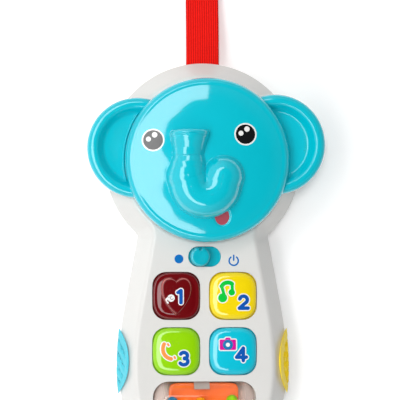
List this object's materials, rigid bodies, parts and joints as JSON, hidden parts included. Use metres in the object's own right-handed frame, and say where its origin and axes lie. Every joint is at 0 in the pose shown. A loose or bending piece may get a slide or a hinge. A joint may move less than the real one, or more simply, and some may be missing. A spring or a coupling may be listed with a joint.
{
  "type": "toy cell phone",
  "caption": "Baby's toy phone with an elephant face that swings aside from a mirror, light-up number keys, a slide switch, a bead roller, side grips and a webbing strap.",
  "frame": {"origin": "on the flat back that the phone lies on, below the neck", "axes": "+Y towards the head and strap, +Z out of the front, +X to the right seen from the front"},
  "size_m": [0.1142, 0.3419, 0.0492],
  "materials": {
    "white_abs": "satin moulded",
    "cyan_abs": "gloss moulded",
    "red_key": "translucent gloss",
    "yellow_key": "gloss moulded",
    "lime_key": "gloss moulded",
    "cyan_key": "gloss moulded",
    "cyan_grip": "soft moulded",
    "yellow_grip": "soft moulded",
    "clear_plastic": "clear gloss",
    "orange_abs": "gloss moulded",
    "blue_bead": "gloss",
    "yellow_bead": "gloss",
    "green_bead": "gloss",
    "red_bead": "gloss",
    "purple_bead": "gloss",
    "white_bead": "gloss",
    "teal_slide": "gloss moulded",
    "red_webbing": "woven",
    "zinc_steel": "zinc plated",
    "nickel_steel": "nickel plated",
    "mirror_acrylic": "mirrored acrylic",
    "black_abs": "matt",
    "green_board": "solder mask",
    "grey_silicone": "matt",
    "lamp_epoxy": "clear red",
    "speaker_paper": "pressed paper",
    "ferrite": "sintered",
    "cell_sleeve": "printed sleeve",
    "wire_pvc": "extruded",
    "nickel_snap": "plated"
  },
  "bodies": {
    "phone": {"battery_contacts": "nickel_steel", "battery_left": "cell_sleeve", "battery_right": "cell_sleeve", "battery_springs": "nickel_steel", "button_mat": "grey_silicone", "capacitor": "black_abs", "case_screws": "zinc_steel", "circuit_board": "green_board", "front_shell": "white_abs", "heart_lamp": "lamp_epoxy", "left_grip": "cyan_grip", "mirror": "mirror_acrylic", "mirror_plate": "white_abs", "mirror_screws": "zinc_steel", "pivot_pin": "black_abs", "pivot_screw": "zinc_steel", "pivot_washer": "zinc_steel", "rear_shell": "white_abs", "right_grip": "yellow_grip", "roller_cradle": "white_abs", "slide_switch": "nickel_steel", "snap_socket": "nickel_snap", "snap_stud": "nickel_snap", "sound_chip": "black_abs", "speaker_basket": "zinc_steel", "speaker_cone": "speaker_paper", "speaker_magnet": "ferrite", "speaker_screws": "zinc_steel", "speaker_wire_left": "wire_pvc", "speaker_wire_right": "wire_pvc", "strap": "red_webbing", "strap_bar": "zinc_steel", "strap_loop": "red_webbing"},
    "face": {"face_cover": "cyan_abs", "ear_plate": "cyan_abs", "face_screws": "zinc_steel"},
    "button_1": {"button_1": "red_key"},
    "button_2": {"button_2": "yellow_key"},
    "button_3": {"button_3": "lime_key"},
    "button_4": {"button_4": "cyan_key"},
    "power_knob": {"power_knob": "teal_slide"},
    "roller": {"roller_left_half": "clear_plastic", "roller_right_half": "clear_plastic", "roller_paddle": "orange_abs"},
    "bead_blue": {"bead_blue": "blue_bead"},
    "bead_green": {"bead_green": "green_bead"},
    "bead_purple": {"bead_purple": "purple_bead"},
    "bead_red": {"bead_red": "red_bead"},
    "bead_white": {"bead_white": "white_bead"},
    "bead_yellow": {"bead_yellow": "yellow_bead"},
    "battery_door": {"battery_door": "white_abs", "battery_door_screws": "zinc_steel"}
  },
  "joints": [
    {"name": "face_swing", "type": "hinge", "parent": "phone", "child": "face", "pos_m": [0, 0.0765, 0.0265], "axis": [0, 0, 1], "range_deg": [-170, 170]},
    {"name": "button_1_press", "type": "slide", "parent": "phone", "child": "button_1", "axis": [0, 0, -1], "range_m": [0, 0.0018], "stiffness_N_per_m": 500, "springref_m": -0.0006},
    {"name": "button_2_press", "type": "slide", "parent": "phone", "child": "button_2", "axis": [0, 0, -1], "range_m": [0, 0.0018], "stiffness_N_per_m": 500, "springref_m": -0.0006},
    {"name": "button_3_press", "type": "slide", "parent": "phone", "child": "button_3", "axis": [0, 0, -1], "range_m": [0, 0.0018], "stiffness_N_per_m": 500, "springref_m": -0.0006},
    {"name": "button_4_press", "type": "slide", "parent": "phone", "child": "button_4", "axis": [0, 0, -1], "range_m": [0, 0.0018], "stiffness_N_per_m": 500, "springref_m": -0.0006},
    {"name": "power_slide", "type": "slide", "parent": "phone", "child": "power_knob", "axis": [1, 0, 0], "range_m": [0, 0.004]},
    {"name": "roller_spin", "type": "hinge", "parent": "phone", "child": "roller", "pos_m": [0, -0.0725, 0.017], "axis": [1, 0, 0], "continuous": true},
    {"name": "bead_blue_roll", "type": "slide", "parent": "roller", "child": "bead_blue", "axis": [1, 0, 0], "range_m": [-0.0015, 0.0015]},
    {"name": "bead_green_roll", "type": "slide", "parent": "roller", "child": "bead_green", "axis": [1, 0, 0], "range_m": [-0.0015, 0.0015]},
    {"name": "bead_purple_roll", "type": "slide", "parent": "roller", "child": "bead_purple", "axis": [1, 0, 0], "range_m": [-0.0015, 0.0015]},
    {"name": "bead_red_roll", "type": "slide", "parent": "roller", "child": "bead_red", "axis": [1, 0, 0], "range_m": [-0.0015, 0.0015]},
    {"name": "bead_white_roll", "type": "slide", "parent": "roller", "child": "bead_white", "axis": [1, 0, 0], "range_m": [-0.0015, 0.0015]},
    {"name": "bead_yellow_roll", "type": "slide", "parent": "roller", "child": "bead_yellow", "axis": [1, 0, 0], "range_m": [-0.0015, 0.0015]},
    {"name": "battery_door_lift", "type": "slide", "parent": "phone", "child": "battery_door", "axis": [0, 0, -1], "range_m": [0, 0.012]}
  ]
}
